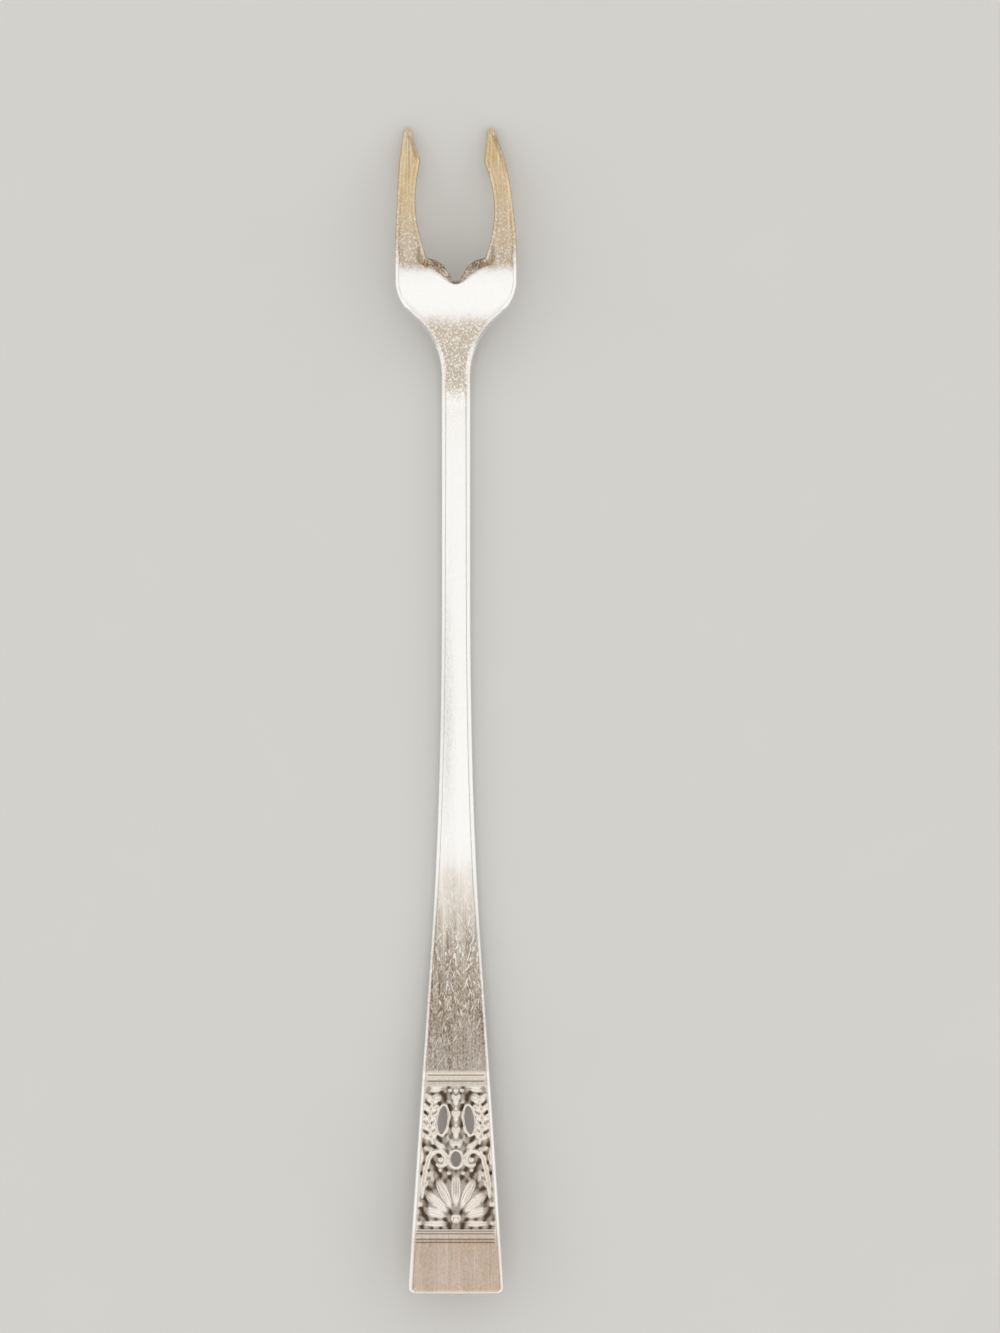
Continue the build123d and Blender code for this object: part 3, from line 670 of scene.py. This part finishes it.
# Skin mesh: how the fork's faces are divided, in mm, and how its edges are worn into chamfers
skin = {
    "fieldCells": 18, "fineTimes": 3,    # cells across each half, and how much finer the panel is
    "bevelSteps": (0.89, 0.76, 0.54, 0.32, 0.14, 0.0), "outlinePitch": 0.015, "sharpAngle": 70.0,
    # Length and count of the rows that ease, pitch of the even ones and where the pitch changes
    "endRows": (1.0, 13), "notchRows": (0.6, 8), "tipRows": (1.0, 18), "tipMargin": 0.0015,
    "padPitch": 0.5, "bandPitch": 0.05, "panelPitch": 0.1, "stepPitch": 0.25, "taperPitch": 1.0,
    "neckPitch": 0.3, "headPitch": 0.06, "browPitch": 0.055, "tinePitch": 0.2,
    "stepLength": 0.5, "neckLead": 5.0, "headLead": 1.0, "rootLength": 0.6,
    "innerCrowding": 1.6,    # above 1, the columns crowd towards the inner edge
    "innerLead": 6.0,    # they begin to gather for that edge this far before the notch
    "bevelZone": 1.12,    # columns start this far in, as a share of the chamfer's width
    "zoneLimit": 0.45,    # and at most this share of the strip's width
    "bevelWidth": 0.55, "bevelDepth": 0.38, "chamferShare": 0.68, "chamferEase": 0.08, "rollPower": 6,
    "tineEase": 1.6, "tineRound": 2.2,
    # Station and width of the chamfer on the left and on the right edge
    "bevelByStation": [
        (0, 0.8, 0.55), (8, 0.6, 0.5), (28, 0.5, 0.5), (45, 0.5, 0.5), (55, 0.62, 0.7), (95, 0.62, 0.68),
        (120, 0.7, 0.75), (126, 0.8, 0.88), (131, 0.6, 0.6), (136.5, 0.55, 0.55), (141, 1.05, 1.05)],
    "notchBevel": 0.4, "browBevel": 1.4, "tineBevel": 1.05, "endBevel": 0.45,
    "notchEase": 2.0, "rootEase": 2.5,    # lengths over which the inner chamfer changes its width
    "tineDrop": 0.28, "tipFlat": 0.7, "tipEase": 1.0,
    # The grooves are darkened towards the sulphide colour: tarnish and painted shade in them
    "grooveRunOut": 0.12, "grooveSpread": 0.8, "grooveShadeAndTarnish": 0.6,
    # Station, then the shares of warm film, grey dulling, bright specks, scratches and buffing lines.
    # The film and the dulling are partly tarnish and partly painted reflection and shade, and the specks
    # are partly painted glints
    "wearAndPaintedReflectionByStation": [
        (0, 0.62, 0.37, 0.0, 0.2, 0.45), (7, 0.52, 0.43, 0.0, 0.2, 0.45),
        (9, 0.3, 0.02, 0.1, 0.2, 0.2), (27.4, 0.3, 0.02, 0.1, 0.2, 0.2),
        (27.7, 0.3, 0.3, 0.2, 0.2, 0.2), (28.4, 0.3, 0.3, 0.2, 0.2, 0.2),
        (28.7, 0.4, 0.02, 0.2, 0.2, 0.2), (29.45, 0.4, 0.02, 0.2, 0.2, 0.2),
        (29.75, 0.2, 0.76, 0.2, 0.5, 0.5), (39, 0.4, 0.86, 0.3, 1.0, 0.55),
        (46, 0.38, 0.74, 0.3, 1.0, 0.7), (52, 0.26, 0.32, 0.2, 0.5, 0.9),
        (55.5, 0.2, 0.2, 0.2, 0.4, 1.0), (57.5, 0.06, 0.06, 0.2, 0.4, 0.8),
        (60, 0.02, 0.03, 0.2, 0.4, 0.5), (112, 0.02, 0.03, 0.2, 0.4, 0.3),
        (119, 0.08, 0.05, 0.8, 0.1, 0.0), (121, 0.44, 0.36, 1.0, 0.0, 0.0),
        (128.6, 0.44, 0.36, 1.0, 0.0, 0.0), (130.4, 0.04, 0.02, 0.4, 0.0, 0.0),
        (136.2, 0.04, 0.02, 0.4, 0.0, 0.0), (137.3, 0.56, 0.4, 0.8, 0.1, 0.4),
        (141, 0.72, 0.32, 0.7, 0.1, 0.5), (148, 0.95, 0.29, 0.35, 0.2, 0.9),
        (155.5, 1.0, 0.3, 0.4, 0.2, 1.0),
    ],
    # How far the edges between bright metal and its tarnish and painted shade stray, and by which waves
    # across
    "wander": 0.13, "wanderLead": 5.0, "wanderWaves": ((2.7, 0.6), (6.1, 0.0), (1.3, 2.0)),
    "dullPatch": {"x": -1.2, "d": 78.0, "halfWidth": 0.9, "halfLength": 15.0, "share": 0.2},
    # The brow, with tarnish kept on it and painted shade along its slant, and the rubbed outer chamfers:
    # how far past the tines' root they reach, over what length they fade, how fast they set in at the edge
    # and what they change; the brow's fewer specks are fewer painted glints
    "brow": {"pastRoot": 0.3, "ease": 1.2, "rise": 5.0, "dull": 0.64, "filmAndReflection": 0.36, "fewerSpecks": 0.5},
    "edgeRub": {"pastRoot": 2.0, "ease": 3.0, "rise": 2.0, "share": 0.8},
    "rosyStart": 1.2, "rosyReach": 24.0,    # the film turns rosy towards the handle end, partly as a painted reflection of a warm room
}


def skinRows():    # stations along the fork, closest where the shape turns, and which of them are fine
    def even(start, end, pitch):
        return list(np.linspace(start, end, max(1, round((end - start) / pitch)), endpoint=False))

    def eased(start, length, count):    # closest together at the start
        return [start + length * (k / count) ** 2 for k in range(count)]

    endLength, endCount = skin["endRows"]
    notchLength, notchCount = skin["notchRows"]
    tipLength, tipCount = skin["tipRows"]
    stepEnd, neckLead = ornamentEnd + skin["stepLength"], neckStart - skin["neckLead"]
    headLead, rootEnd = notchBottom - skin["headLead"], tineRoot + skin["rootLength"]
    coarse = eased(0, endLength, endCount) + even(endLength, fork["padLength"], skin["padPitch"])
    coarse += even(fork["padLength"], panelStart, skin["bandPitch"])
    fine = even(panelStart, panelEnd, skin["panelPitch"]) + [panelEnd]
    beyond = even(panelEnd + skin["bandPitch"], ornamentEnd, skin["bandPitch"])
    beyond += even(ornamentEnd, stepEnd, skin["stepPitch"]) + even(stepEnd, neckLead, skin["taperPitch"])
    beyond += even(neckLead, headLead, skin["neckPitch"]) + even(headLead, notchBottom, skin["headPitch"])
    beyond += eased(notchBottom, notchLength, notchCount)
    beyond += even(notchBottom + notchLength, rootEnd, skin["browPitch"])
    beyond += even(rootEnd, overallLength - tipLength, skin["tinePitch"])
    beyond += [overallLength - tipLength * (1 - k / tipCount) ** 2 for k in range(tipCount)]
    beyond.append(overallLength - skin["tipMargin"])
    return [(d, False) for d in coarse] + [(d, True) for d in fine] + [(d, False) for d in beyond]


def bevelWidths(d, side, inner):    # width of the chamfer at an edge, widest at the brow and the tines
    if inner:
        stations = (notchBottom, notchBottom + skin["notchEase"], tineRoot, tineRoot + skin["rootEase"])
        widths = (skin["notchBevel"], skin["browBevel"], skin["browBevel"], skin["tineBevel"])
    else:
        stations, left, right = zip(*skin["bevelByStation"])
        widths = right if side > 0 else left
    return np.interp(d, stations, widths)


def stripColumns(low, high, lowZone, highZone, cells, edgeShare):
    # Places across a strip: even over the field and close together at each chamfer; edgeShare says
    # how far the low side is an edge of its own
    steps = np.array(skin["bevelSteps"])
    width = high - low
    limit = skin["zoneLimit"] * width
    highZone, lowZone = (min(skin["bevelZone"] * zone, limit) for zone in (highZone, lowZone))
    field = np.linspace(low, high - highZone, cells + 1)
    beyond = np.linspace(0, 1, cells + 1 - len(steps))[1:] ** skin["innerCrowding"]
    edged = np.concatenate((low + lowZone * np.concatenate(([1.0], steps))[::-1],
                            low + lowZone + (width - lowZone - highZone) * beyond))
    return np.concatenate((field + (edged - field) * edgeShare, high - highZone * steps))


def resample(path, pitch):
    along = np.concatenate(([0], np.cumsum(np.hypot(*np.diff(path, axis=0).T))))
    at = np.linspace(0, along[-1], int(along[-1] / pitch) + 2)
    return np.column_stack((np.interp(at, along, path[:, 0]), np.interp(at, along, path[:, 1])))


def layRows():    # one face in plan: rows of columns on each half, and the outline with its chamfers
    rows, plan, onEdge, inField, outline = skinRows(), [], [], [], []
    lines = {1: [], -1: []}
    for side in (1, -1):
        outer, inner = edgeCurves(side * fork["tineLean"])
        for path, isInner in ((outer, False), (inner, True)):
            dense = resample(path, skin["outlinePitch"])
            widths = bevelWidths(dense[:, 1], side, isInner)
            outline.append(np.column_stack((dense * (side, 1), widths, np.full(len(dense), isInner))))
        for k, (d, isFine) in enumerate(rows):
            low = np.interp(d, inner[:, 1], inner[:, 0]) if d >= notchBottom else 0.0
            high = np.interp(d, outer[:, 1], outer[:, 0])
            cells = skin["fieldCells"] * (skin["fineTimes"] if isFine else 1)
            edgeShare = np.clip((d - notchBottom) / skin["innerLead"] + 1, 0, 1)
            lowZone, highZone = (bevelWidths(d, side, isInner) for isInner in (True, False))
            xs = stripColumns(low, high, lowZone, highZone, cells, edgeShare)
            line = list(range(len(plan), len(plan) + len(xs)))
            plan += [(side * x, d) for x in xs]
            edge = np.full(len(xs), k in (0, len(rows) - 1))
            edge[-1] = True
            edge[0] |= d > notchBottom
            onEdge += list(edge)
            inside = isFine and rows[k - 1][1] and rows[k + 1][1]
            inField += [inside and column < cells for column in range(len(xs))]
            if side < 0 and d <= notchBottom:
                line[0] = lines[1][k][0]    # both halves share the middle line
            lines[side].append(line)
    endHalf = fork["endWidth"] / 2 - fork["endCornerRadius"]
    endLine = np.arange(-endHalf, endHalf, skin["outlinePitch"])[:, None]
    outline.append(np.hstack((endLine, 0 * endLine, 0 * endLine + skin["endBevel"], 0 * endLine)))
    return rows, np.array(plan), np.array(onEdge), np.array(inField, float), lines, np.vstack(outline)


def holeReach(u, v, hole):    # 1 on the oval of a piercing, less inside it
    (centerU, centerV), size, tilt = hole
    c, s = cos(radians(tilt)), sin(radians(tilt))
    p, q = (u - centerU) * c + (v - centerV) * s, (v - centerV) * c - (u - centerU) * s
    return np.hypot(2 * p / size[0], 2 * q / size[1])


def joinRows(rows, lines, plan, v):
    # Faces of one side, the edges that take a wall, and the points on the rim of each piercing
    coarse, fine = skin["fieldCells"], skin["fieldCells"] * skin["fineTimes"]
    faces, walls = [], []
    rims = [set() for _ in piercings]
    for half in lines.values():
        pierced = {}
        for k, (a, b) in enumerate(zip(half, half[1:])):
            if rows[k][1] != rows[k + 1][1]:    # one coarse cell meets three fine ones
                few, many = sorted((a, b), key=len)
                for c in range(coarse):
                    f = many[3 * c:3 * c + 4]
                    faces += [(few[c], f[1], f[0]), (few[c + 1], f[3], f[2])]
                    faces.append((few[c], few[c + 1], f[2], f[1]))
                few, many = few[coarse:], many[fine:]
                faces += [(few[j], few[j + 1], many[j + 1], many[j]) for j in range(len(few) - 1)]
                continue
            for j in range(len(a) - 1):
                corners = [a[j], a[j + 1], b[j + 1], b[j]]
                number = -1
                if rows[k][1] and j < fine:
                    middle = plan[corners, 0].mean(), v[corners].mean()
                    reach = [holeReach(*middle, hole) for hole in piercings]
                    number = int(np.argmin(reach)) if min(reach) < 1 else -1
                if number < 0:
                    faces.append(tuple(corners))
                else:
                    pierced[k, j] = number
        for (k, j), number in pierced.items():
            a, b = half[k], half[k + 1]
            for other, ends in (((k - 1, j), (a[j], a[j + 1])), ((k + 1, j), (b[j], b[j + 1])),
                                ((k, j - 1), (a[j], b[j])), ((k, j + 1), (a[j + 1], b[j + 1]))):
                if other not in pierced and other[1] >= 0:
                    walls.append(ends)
                    rims[number].update(ends)
        for k, (a, b) in enumerate(zip(half, half[1:])):
            walls.append((a[-1], b[-1]))
            if rows[k][0] >= notchBottom:
                walls.append((a[0], b[0]))
        for line in (half[0], half[-1]):
            walls += list(zip(line, line[1:]))
    return faces, walls, rims


def nearestEdge(plan, onEdge, outline):
    # Chamfer's width, inner edge or not, and 0 to 1 from the chamfer's foot to the edge
    tree = kdtree.KDTree(len(outline))
    for number, point in enumerate(outline):
        tree.insert((point[0], point[1], 0), number)
    tree.balance()
    found = [tree.find((*point, 0)) for point in plan]
    width, isInner = outline[[hit[1] for hit in found], 2:].T
    distance = np.where(onEdge, 0.0, [hit[2] for hit in found])
    return width, isInner, np.clip(1 - distance / width, 0, 1)


def chamferDrop(d, width, inward, browEdge):    # how far the worn edge lies below the face
    ease = skin["chamferEase"]
    slanted = (np.hypot(inward, ease) - ease) / (np.hypot(1, ease) - ease)
    roll = (1 - skin["chamferShare"]) * (1 - browEdge)    # the brow is a flat slant, with no rolled edge
    chamfer = (1 - roll) * slanted + roll * inward ** skin["rollPower"]
    onTine = np.clip((d - tineRoot) / skin["tineEase"], 0, 1)
    chamfer += (inward ** skin["tineRound"] - chamfer) * onTine    # the tines are round-backed
    edgeDrop = skin["bevelDepth"] * np.sqrt(width / skin["bevelWidth"])
    edgeDrop += (skin["tineDrop"] - edgeDrop) * onTine
    edgeDrop *= 1 - skin["tipFlat"] * np.clip((d - overallLength) / skin["tipEase"] + 1, 0, 1)
    return edgeDrop * chamfer


def crossGrooves(x, d):    # 1 along the middle of each groove, 0 between them and on the rails
    across = np.clip((fieldHalf(d) - np.abs(x)) / skin["grooveRunOut"], 0, 1)
    starts = [fork["padLength"] + at for at in fork["lowerGrooves"]]
    starts += [ornamentEnd - at - fork["grooveWidth"] for at in fork["upperGrooves"]]
    groove = np.zeros(len(d))
    for start in starts:
        offset = ((d - start) / fork["grooveWidth"] - 0.5) / skin["grooveSpread"]
        groove = np.maximum(groove, (0.5 + 0.5 * np.cos(pi * np.clip(offset, -1, 1))) * across)
    return groove


def wearAndPaintedLightShares(x, d, isInner, inward, browEdge):
    # By station, as tarnish and painted reflection and shade, less on the rubbed outer chamfers, more on
    # the brow as painted shade and in one patch of the taper
    stations, filmAndReflection, dull, *marks = zip(*skin["wearAndPaintedReflectionByStation"])
    stray = skin["wander"] * np.clip((d - ornamentEnd) / skin["wanderLead"], 0, 1)    # none on the bands
    worn = d + stray * sum(np.sin(rate * x + start) for rate, start in skin["wanderWaves"])
    brow, rub, patch = skin["brow"], skin["edgeRub"], skin["dullPatch"]
    # The brow's band of dulling and film is painted shade on its slant, with some tarnish kept there
    onBrow = np.clip(brow["rise"] * inward, 0, 1) * browEdge
    belowTines = np.clip((tineRoot + rub["pastRoot"] - d) / rub["ease"], 0, 1)
    rubbedEdge = 1 - rub["share"] * np.clip(rub["rise"] * inward, 0, 1) * (1 - isInner) * belowTines
    fromPatch = np.hypot((x - patch["x"]) / patch["halfWidth"], (d - patch["d"]) / patch["halfLength"])
    # Film, rosy tint and dulling by station: tarnish, and painted reflection and shade of the room
    shares = {
        "tarnish_and_painted_reflection": np.interp(worn, stations, filmAndReflection) * rubbedEdge + brow["filmAndReflection"] * onBrow,
        "dulling_and_painted_shade": np.interp(worn, stations, dull) * rubbedEdge + brow["dull"] * onBrow,
        "rosy_film_and_reflection": np.clip(skin["rosyStart"] - d / skin["rosyReach"], 0, 1),
    }
    shares["dulling_and_painted_shade"] += patch["share"] * np.exp(-fromPatch ** 2)
    for name, levels in zip(("speckled", "scratched", "brushed"), marks):
        shares[name] = np.interp(d, stations, levels)
    # Fewer specks, that is fewer painted glints, on the shaded brow
    shares["speckled"] *= 1 - brow["fewerSpecks"] * onBrow
    return shares


def buildSkin():
    rows, plan, onEdge, inField, lines, outline = layRows()
    v = (plan[:, 1] - panelStart) / cos(handleSlope)
    faces, walls, rims = joinRows(rows, lines, plan, v)
    for hole, rim in zip(piercings, rims):    # the corners round a piercing move onto its oval
        rim = sorted(rim)
        stretch = 1 / holeReach(plan[rim, 0], v[rim], hole)
        plan[rim, 0] = hole[0][0] + (plan[rim, 0] - hole[0][0]) * stretch
        v[rim] = hole[0][1] + (v[rim] - hole[0][1]) * stretch
        plan[rim, 1] = panelStart + v[rim] * cos(handleSlope)
    x, d = plan.T

    # Heights: side profile, less the chamfers and the grooves
    width, isInner, inward = nearestEdge(plan, onEdge, outline)
    browEdge = isInner * np.clip((tineRoot + skin["brow"]["pastRoot"] - d) / skin["brow"]["ease"], 0, 1)
    groove = crossGrooves(x, d)
    drop = chamferDrop(d, width, inward, browEdge) + fork["grooveDepth"] * groove
    under, over = sideProfile()
    upper = np.interp(d, over[:, 0], over[:, 1]) - drop
    lower = np.interp(d, under[:, 0], under[:, 1]) + drop

    # Both faces and the walls between them, with only the points that they use
    count = len(plan)
    y = d - overallLength / 2
    points = np.vstack((np.column_stack((x, y, upper)), np.column_stack((x, y, lower))))
    allFaces = faces + [tuple(corner + count for corner in face) for face in faces]
    allFaces += [(a, b, b + count, a + count) for a, b in walls]
    used = np.unique(np.concatenate(allFaces))
    slot = np.zeros(2 * count, int)
    slot[used] = np.arange(len(used))
    twice = np.tile(np.arange(count), 2)[used]
    attributes = wearAndPaintedLightShares(x, d, isInner, inward, browEdge)
    attributes.update(panelU=x, panelV=v, panelMask=inField, recess=skin["grooveShadeAndTarnish"] * groove)
    attributes = {name: values[twice] for name, values in attributes.items()}
    attributes["panelSide"] = np.repeat((1.0, -1.0), count)[used]
    return points[used] * mm, [tuple(slot[list(face)]) for face in allFaces], attributes


def closedPiece(name, points, faces, attributes):
    piece = meshObject(name, points, faces=faces, **attributes)
    whole = bmesh.new()
    whole.from_mesh(piece.data)
    bmesh.ops.recalc_face_normals(whole, faces=whole.faces)
    whole.to_mesh(piece.data)
    whole.free()
    return piece


def finished(piece, material):    # without the panel's helper attributes, smooth but for sharp corners
    mesh = piece.data
    for name in ("panelU", "panelV", "panelMask", "panelSide"):
        mesh.attributes.remove(mesh.attributes[name])
    mesh.materials.clear()
    mesh.materials.append(material)
    mesh.polygons.foreach_set("use_smooth", np.ones(len(mesh.polygons), bool))
    mesh.set_sharp_from_angle(angle=radians(skin["sharpAngle"]))


points, faces, attributes = buildSkin()
print("skin laid out:", len(points), "points,", len(faces), "faces")
ornamentDie = buildDie()
print("ornament die:", len(ornamentDie.data.polygons), "faces")

plating = closedPiece("silver_plating_skin", points, faces, attributes)
grown(plating, strikeTree(), Die=ornamentDie, Ground_Depth=die["groundDepth"],
      Wear_Passes=die["wearPasses"], Slope=handleSlope)
finished(plating, plateMaterial)
bpy.data.objects.remove(ornamentDie)

# The blank under the plating: the same shape drawn in, with its panel at the background's depth
core = closedPiece("nickel_silver_core", points, faces, attributes)
normals = np.zeros(3 * len(core.data.vertices))
core.data.vertices.foreach_get("normal", normals)
sunk = die["groundDepth"] * attributes["panelMask"] * attributes["panelSide"] * mm
slopeNormal = np.array((0, sin(handleSlope), cos(handleSlope)))
inset = points - sunk[:, None] * slopeNormal - normals.reshape(-1, 3) * fork["plateThickness"] * mm
tipLimit = (overallLength / 2 - fork["plateThickness"]) * mm
inset[:, 1] = np.minimum(inset[:, 1], tipLimit)    # its tips stay behind the coat
core.data.vertices.foreach_set("co", inset.ravel())
finished(core, coreMaterial)

for piece, node, slotName in (
        (plating, "silver_plating", "silver_plate"), (core, "fork_blank", "nickel_silver")):
    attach(piece, "root")
    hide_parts(node)
    print(piece.name, "has", sum(len(face.vertices) - 2 for face in piece.data.polygons), "triangles")

# Floor: matt pale paper, a little uneven in tone
stage = {
    "floorSize": 8.0, "floor": "#DEDCD7", "floorSpot": "#DAD8D3", "spotSize": 0.017,
    "floorRoughness": 0.9, "room": "#A6A6A6",
}
paper = bpy.data.materials.new("matt_paper")
paper.use_nodes = True
paperTree = paper.node_tree
paperPlace = addNode(paperTree, "ShaderNodeTexCoord").outputs["Object"]
paperNoise = addNode(paperTree, "ShaderNodeTexNoise", paperPlace, 1 / stage["spotSize"])
paperTone = addNode(paperTree, "ShaderNodeMix", paperNoise,
                    linear(stage["floor"]), linear(stage["floorSpot"]), data_type="RGBA")
paperShader = paperTree.nodes["Principled BSDF"]
paperTree.links.new(paperTone.outputs["Result"], paperShader.inputs["Base Color"])
paperShader.inputs["Roughness"].default_value = stage["floorRoughness"]
half = stage["floorSize"] / 2
floor = meshObject("floor", [(-half, -half, 0), (half, -half, 0), (half, half, 0), (-half, half, 0)],
                   faces=[(0, 1, 2, 3)])
floor.data.materials.append(paper)

# Light: an even grey room with large soft panels. Each lies at an angle from straight up, in degrees
# towards +Y or +X, and its radiance adds to the room's.
world = bpy.data.worlds.new("even_room")
world.use_nodes = True
world.node_tree.nodes["Background"].inputs["Color"].default_value = linear(stage["room"])
bpy.context.scene.world = world
lights = {
    "overhead_panel": {"size": (2.4, 1.2), "tilt": (-6.5, 0), "distance": 2.5, "radiance": 0.72},
    "front_panel": {"size": (2.4, 3.2), "tilt": (36, 0), "distance": 3.2, "radiance": 0.53},
    "rear_panel": {"size": (4.4, 3.7), "tilt": (-50, 0), "distance": 3.2, "radiance": 0.56},
    "right_fill": {"size": (1.4, 1.8), "tilt": (36, 31), "distance": 3.2, "radiance": 0.3},
    "left_fill": {"size": (1.4, 1.8), "tilt": (36, -31), "distance": 3.2, "radiance": 0.3},
    "right_panel": {"size": (2.5, 6.6), "tilt": (2, 63), "distance": 2.9, "radiance": 0.67},
    "left_panel": {"size": (2.5, 6.6), "tilt": (2, -63), "distance": 2.9, "radiance": 0.67},
}
for name, box in lights.items():
    lamp = bpy.data.lights.new(name, "AREA")
    lamp.shape = "RECTANGLE"
    lamp.size, lamp.size_y = box["size"]
    lamp.energy = box["radiance"] * pi * lamp.size * lamp.size_y
    holder = bpy.data.objects.new(name, lamp)
    alongY, alongX = (radians(angle) for angle in box["tilt"])
    holder.rotation_euler = (-alongY, alongX, 0)
    holder.location = holder.rotation_euler.to_matrix() @ Vector((0, 0, box["distance"]))
    holder.visible_camera = False
    bpy.context.scene.collection.objects.link(holder)

# Camera: straight down, framed as in the 1000 x 1333 picture
view = {
    "center": (0.00587, 0.0058), "height": 1.6, "focusLevel": 0.0035, "frameHeight": 0.17777,
    "sensor": 36.0, "clip": (0.01, 50.0),
}
lens = bpy.data.cameras.new("overhead_camera")
lens.sensor_fit = "VERTICAL"
lens.sensor_height = view["sensor"]
lens.lens = view["sensor"] * (view["height"] - view["focusLevel"]) / view["frameHeight"]
lens.clip_start, lens.clip_end = view["clip"]
camera = bpy.data.objects.new("overhead_camera", lens)
camera.location = (*view["center"], view["height"])
bpy.context.scene.collection.objects.link(camera)
bpy.context.scene.camera = camera
bpy.context.scene.view_settings.view_transform = "Standard"
print("stage, lights and camera set")

bpy.context.view_layer.update()
